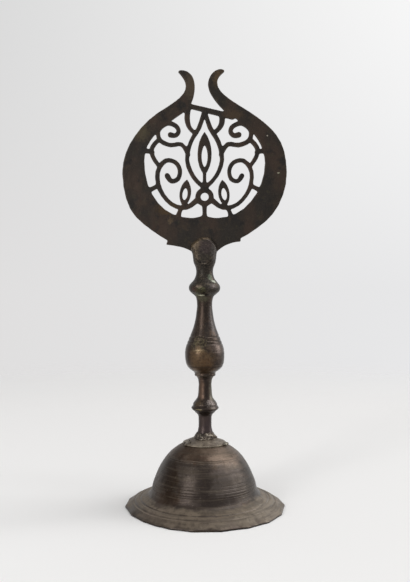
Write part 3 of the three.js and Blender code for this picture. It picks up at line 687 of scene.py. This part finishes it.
def trimRim(bm):
    # hollowed flats between blunt corners, which stand out a little unevenly
    random.seed(bell["seed"])
    rim = max(radius for radius, *rest in bell["outside"])
    inner = bell["trimmedFrom"]
    corners = []
    for angle in bell["corners"]:
        deeper = sum(depth * math.exp(-((angle - about) / spread) ** 2)
                     for about, spread, depth in bell["trimmedMore"])
        reach = bell["cornerRadius"] - random.uniform(0, bell["uneven"]) - deeper
        corners.append((math.radians(angle), reach))
    corners.append((corners[0][0] + 2 * math.pi, corners[0][1]))
    for vert in bm.verts:
        radius = math.hypot(vert.co.x, vert.co.y) / mm
        if radius < inner:
            continue
        angle = math.atan2(vert.co.y, vert.co.x) % (2 * math.pi)
        if angle < corners[0][0]:
            angle += 2 * math.pi
        for (startAngle, startRadius), (endAngle, endRadius) in zip(corners, corners[1:]):
            if startAngle <= angle <= endAngle:
                start = Vector((math.cos(startAngle), math.sin(startAngle))) * startRadius
                end = Vector((math.cos(endAngle), math.sin(endAngle))) * endRadius
                side = (end - start).normalized()
                out = Vector((math.cos(angle), math.sin(angle)))
                edge = start.cross(side) / out.cross(side) if out.cross(side) else startRadius
                share = (angle - startAngle) / (endAngle - startAngle)
                edge -= bell["hollow"] * 4 * share * (1 - share)  # deepest midway
        pull = (radius - inner) / (rim - inner) * (edge / rim - 1)
        vert.co.x *= 1 + pull
        vert.co.y *= 1 + pull


def makeBell():
    bm = bmesh.new()
    drawProfile(bm, bell["outside"], stepsEach=6)
    cutGrooves(bm, bell["grooves"])
    drawProfile(bm, bell["inside"], stepsEach=3)
    spinProfile(bm, bell["steps"])
    trimRim(bm)
    foot = [vert for vert in bm.verts if vert.co.z < bell["footBelow"] * mm]
    unevenHand(bm, bell["swells"])
    inner, outer = bell["asideWithin"]
    for vert in bm.verts:
        vert.co.z = max(vert.co.z, 0)
        wide = math.hypot(vert.co.x, vert.co.y) / mm
        vert.co.x -= bell["aside"] * mm * min(1, max(0, (outer - wide) / (outer - inner)))
    for vert in foot:
        vert.co.z = 0  # stands flat
    finishPiece("bellBase", bm, bellBronze, ["dome_base"])


makeBell()


# The disc over the crown, and the washer under it

crownDisc = {
    "profile": [
        (3.9, 64.15, sharp), (3.9, 65.4, sharp), (10.8, 65.2), (13.5, 64.25), (16, 63.3), (18.5, 62.2),
        (20.3, 61.5), (20.8, 60.95), (20.7, 60.3, sharp), (18.4, 61.6), (15.4, 62.75), (12.5, 63.8),
        (10, 64.15), (3.9, 64.15, sharp),
    ],
    "steps": 144,
    "swells": [(12, 0.45), (4, 0.2)],
}
washer = {
    "profile": [
        (3.9, 60.4, sharp), (7.6, 60.4), (8.4, 60.7), (8.5, 61.3), (8.4, 62, sharp), (3.9, 62, sharp),
        (3.9, 60.4, sharp),
    ],
    "steps": 64,
    "swells": [(5, 0.1)],
}
discBronze = patina("turnedBronzeDisc", {
    # thin turned disc, dusty tan on top with a rubbed pale edge
    "colour": "#786d60", "metallic": 0.4, "roughness": 0.5,
    "layers": [
        {"size": 12, "over": (0.45, 0.65), "colour": "#584d42"},
        {"size": 5, "over": (0.5, 0.64), "colour": "#887d6d", "share": 0.8, "metallic": 0.25,
         "roughness": 0.6},
        {"size": 3, "over": (0.54, 0.66), "colour": "#453b31", "share": 0.7, "height": -0.12},
        {"size": 1.4, "over": (0.58, 0.72), "colour": "#332a22", "share": 0.5, "height": -0.1},
    ],
    "edges": [{"over": (0.51, 0.56), "colour": "#a59b84", "share": 0.8, "roughness": 0.45}],
    "spots": [
        {"at": (-14, -8, 63), "radii": (16, 18, 8), "colour": "#463b30", "share": 0.7, "size": 3},
        {"at": (-17, -6, 62), "radii": (9, 10, 4), "colour": "#a39a8b", "share": 0.6, "size": 1.4,
         "ragged": 1.4},
    ],
})


def makeDisc():
    bm = bmesh.new()
    drawProfile(bm, crownDisc["profile"], stepsEach=6)
    spinProfile(bm, crownDisc["steps"])
    unevenHand(bm, crownDisc["swells"])
    finishPiece("crownDisc", bm, discBronze, ["crown_disc"])


def makeWasher():
    bm = bmesh.new()
    drawProfile(bm, washer["profile"], stepsEach=4)
    spinProfile(bm, washer["steps"])
    unevenHand(bm, washer["swells"])
    finishPiece("tangWasher", bm, stemBronze, ["tang_washer"])


makeDisc()
makeWasher()


# The solder: a lumpy run round the foot, and tacks over the disc's edge

solder = {
    "ring": [(9.2, 65.3, sharp), (11.1, 65.3, sharp), (10.7, 66.3), (9.7, 68), (8.4, 69.8), (7.5, 70.9),
             (6.9, 70.6, sharp), (7.6, 68, sharp), (9.2, 65.3, sharp)],
    "steps": 64,
    # each lump: degrees round, reach, height and radius
    "lumps": [(-114, 10.6, 65.4, 2), (-132, 10.4, 65.6, 1.9), (-93, 10.5, 65.5, 1.7), (-104, 9, 66.9, 1.7),
              (-86, 7.5, 70.2, 1.5), (-72, 8.9, 67.6, 1.9), (-58, 7.4, 70.4, 1.6), (-48, 9.3, 67, 1.9),
              (-36, 7.8, 69.8, 1.6), (-24, 9.6, 67.2, 1.9), (-6, 9.8, 66.4, 1.9), (25, 9, 67, 1.7),
              (60, 8.9, 67.4, 1.8), (105, 8.9, 66.9, 1.7), (150, 9, 67.1, 1.8), (-122, 7.5, 69.6, 1.3),
              (-138, 9, 67, 1.6), (-160, 8.7, 67.5, 1.5)],
    "right": [(-22, 20.7, 60.8, 2.1), (-12, 20.9, 60.6, 1.8), (-33, 20.4, 61, 1.3)],
    "left": [(-150, 20.6, 60.8, 2.1), (-142, 18.4, 62.4, 1.7), (-153, 16.2, 63.6, 1.4),
             (-160, 20.4, 61, 1.7)],
    "voxel": 0.3,
    "rounds": 2,
    "swells": [(2.6, 0.5), (1.1, 0.16)],
}
tinSolder = patina("tinLeadSolder", {
    # soft solder dabbed on and dulled: grey lumps with painted shade between them
    "colour": "#534a41", "metallic": 0.7, "roughness": 0.4,
    "layers": [
        {"size": 4, "over": (0.42, 0.6), "colour": "#2e2722", "roughness": 0.6},
        {"size": 2.6, "over": (0.54, 0.66), "colour": "#948b7d", "share": 0.8, "roughness": 0.3},
        {"size": 1, "over": (0.6, 0.72), "colour": "#bdb6a8", "share": 0.4, "height": 0.05},
    ],
    # the first: painted shade where the surface turns in between the lumps
    "edges": [{"over": (0.48, 0.42), "colour": "#1a1512", "share": 0.9, "roughness": 0.7},
              {"over": (0.54, 0.64), "colour": "#a89f90", "share": 0.5, "roughness": 0.3}],
    "spots": [
        {"at": (-8, -9, 67), "radii": (9, 9, 6), "colour": "#2b241e", "share": 0.45, "size": 1.5},
        {"at": (20, -8, 61), "radii": (5, 9, 4), "colour": "#9a9586", "share": 0.6, "size": 1.2,
         "ragged": 1.3},
    ],
})


def makeSolder():
    ring = bmesh.new()
    drawProfile(ring, solder["ring"], stepsEach=4)
    spinProfile(ring, solder["steps"])
    runs = [("footSolder", ring, "lumps", "foot_solder"),
            ("discSolderRight", bmesh.new(), "right", "disc_solder_right"),
            ("discSolderLeft", bmesh.new(), "left", "disc_solder_left")]
    for name, bm, lumps, node in runs:
        for degrees, reach, height, radius in solder[lumps]:
            angle = math.radians(degrees)
            addLump(bm, (reach * math.cos(angle), reach * math.sin(angle), height), radius)
        bm = fuse(bm, solder["voxel"], solder["rounds"])
        unevenHand(bm, solder["swells"])
        setAside(bm)
        finishPiece(name, bm, tinSolder, [node], crease=70)


makeSolder()


# Studio: pale floor that fades into a pale room, two soft lamps from the sides and one above

studio = {
    "floor": "#f4f3f2",
    "floorRadius": 1.6,
    "floorFades": (0.55, 1.45),  # into the room between these distances
    "room": ("#e0dfdf", "#e7e7e8"),  # left and right, level with the camera
    "roomHigh": ("#dadada", "#f8f8f8"),  # the same at the top of the picture
    "roomSpan": (0.28, 0.38),  # how far to each side and up these lie, as parts of a way of length 1
    "fill": 0.5,
    "lamps": [
        {"name": "softRight", "at": (6, 0.7, 3), "size": (2.9, 5.6), "power": 188},
        {"name": "softLeft", "at": (-1.6, -2, 0.9), "size": (0.75, 1.9), "power": 31},
        {"name": "softTop", "at": (2, -0.2, 4.4), "size": (2.6, 2.6), "power": 71},
    ],
    "lookAt": (0, 0, 0.2),
    "camera": {"at": (0.0004, -0.6745, 0.2066), "lens": 43.3, "sensor": 36},
}


def makeRoom():
    world = bpy.data.worlds.new("paleRoom")
    bpy.context.scene.world = world
    world.use_nodes = True
    tree = world.node_tree
    rays = addNode(tree, "LightPath", {})
    seen = addNode(tree, "Math", {0: rays.outputs["Is Camera Ray"], 1: rays.outputs["Is Glossy Ray"]},
                   operation="ADD")
    seen = addNode(tree, "Math", {0: seen.outputs[0], 1: rays.outputs["Is Transmission Ray"]},
                   operation="ADD", use_clamp=True)
    level = addNode(tree, "MapRange", {"Value": seen.outputs[0], "To Min": studio["fill"], "To Max": 1})
    way = addNode(tree, "SeparateXYZ", {"Vector": addNode(tree, "TexCoord", {}).outputs["Generated"]})
    side, top = studio["roomSpan"]
    across = addNode(tree, "MapRange", {"Value": way.outputs[0], "From Min": -side, "From Max": side})
    above = addNode(tree, "MapRange", {"Value": way.outputs[2], "From Min": 0, "From Max": top})
    bands = []
    for left, right in (studio["room"], studio["roomHigh"]):
        bands.append(addNode(tree, "Mix", {0: across.outputs[0], 6: toLinear(left), 7: toLinear(right)},
                             data_type="RGBA").outputs[2])
    colour = addNode(tree, "Mix", {0: above.outputs[0], 6: bands[0], 7: bands[1]}, data_type="RGBA")
    setInputs(tree, tree.nodes["Background"], {"Color": colour.outputs[2], "Strength": level.outputs[0]})


def makeFloor():
    bm = bmesh.new()
    bmesh.ops.create_circle(bm, cap_ends=True, segments=96, radius=studio["floorRadius"])
    floor = toObject("floor", bm)
    material = bpy.data.materials.new("paleFloorSweep")
    material.use_nodes = True
    tree = material.node_tree
    shader = tree.nodes["Principled BSDF"]
    setInputs(tree, shader, {"Base Color": toLinear(studio["floor"]), "Roughness": 0.9,
                             "Specular IOR Level": 0})
    away = addNode(tree, "VectorMath", {0: addNode(tree, "TexCoord", {}).outputs["Object"]},
                   operation="LENGTH")
    low, high = studio["floorFades"]
    gone = addNode(tree, "MapRange", {"Value": away.outputs[1], "From Min": low, "From Max": high},
                   interpolation_type="SMOOTHSTEP")
    clear = addNode(tree, "BsdfTransparent", {})
    mix = addNode(tree, "MixShader", {0: gone.outputs[0], 1: shader.outputs[0], 2: clear.outputs[0]})
    setInputs(tree, tree.nodes["Material Output"], {"Surface": mix.outputs[0]})
    floor.data.materials.append(material)


def makeLamps():
    for lamp in studio["lamps"]:
        light = bpy.data.lights.new(lamp["name"], "AREA")
        light.shape = "RECTANGLE"
        light.size, light.size_y = lamp["size"]
        light.energy = lamp["power"]
        holder = bpy.data.objects.new(lamp["name"], light)
        bpy.context.collection.objects.link(holder)
        holder.location = lamp["at"]
        aim = Vector(studio["lookAt"]) - holder.location
        holder.rotation_euler = aim.to_track_quat("-Z", "Y").to_euler()
        holder.visible_camera = False


def makeCamera():
    # level with the stem's knop, as the photograph was taken
    view = studio["camera"]
    lens = bpy.data.cameras.new("camera")
    lens.sensor_width = view["sensor"]
    lens.lens = view["lens"]
    lens.clip_start = 0.01
    camera = bpy.data.objects.new("camera", lens)
    bpy.context.collection.objects.link(camera)
    camera.location = view["at"]
    camera.rotation_euler = (math.radians(90), 0, 0)
    bpy.context.scene.camera = camera


makeRoom()
makeFloor()
makeLamps()
makeCamera()
bpy.context.scene.view_settings.view_transform = "Standard"
print("studio ready")
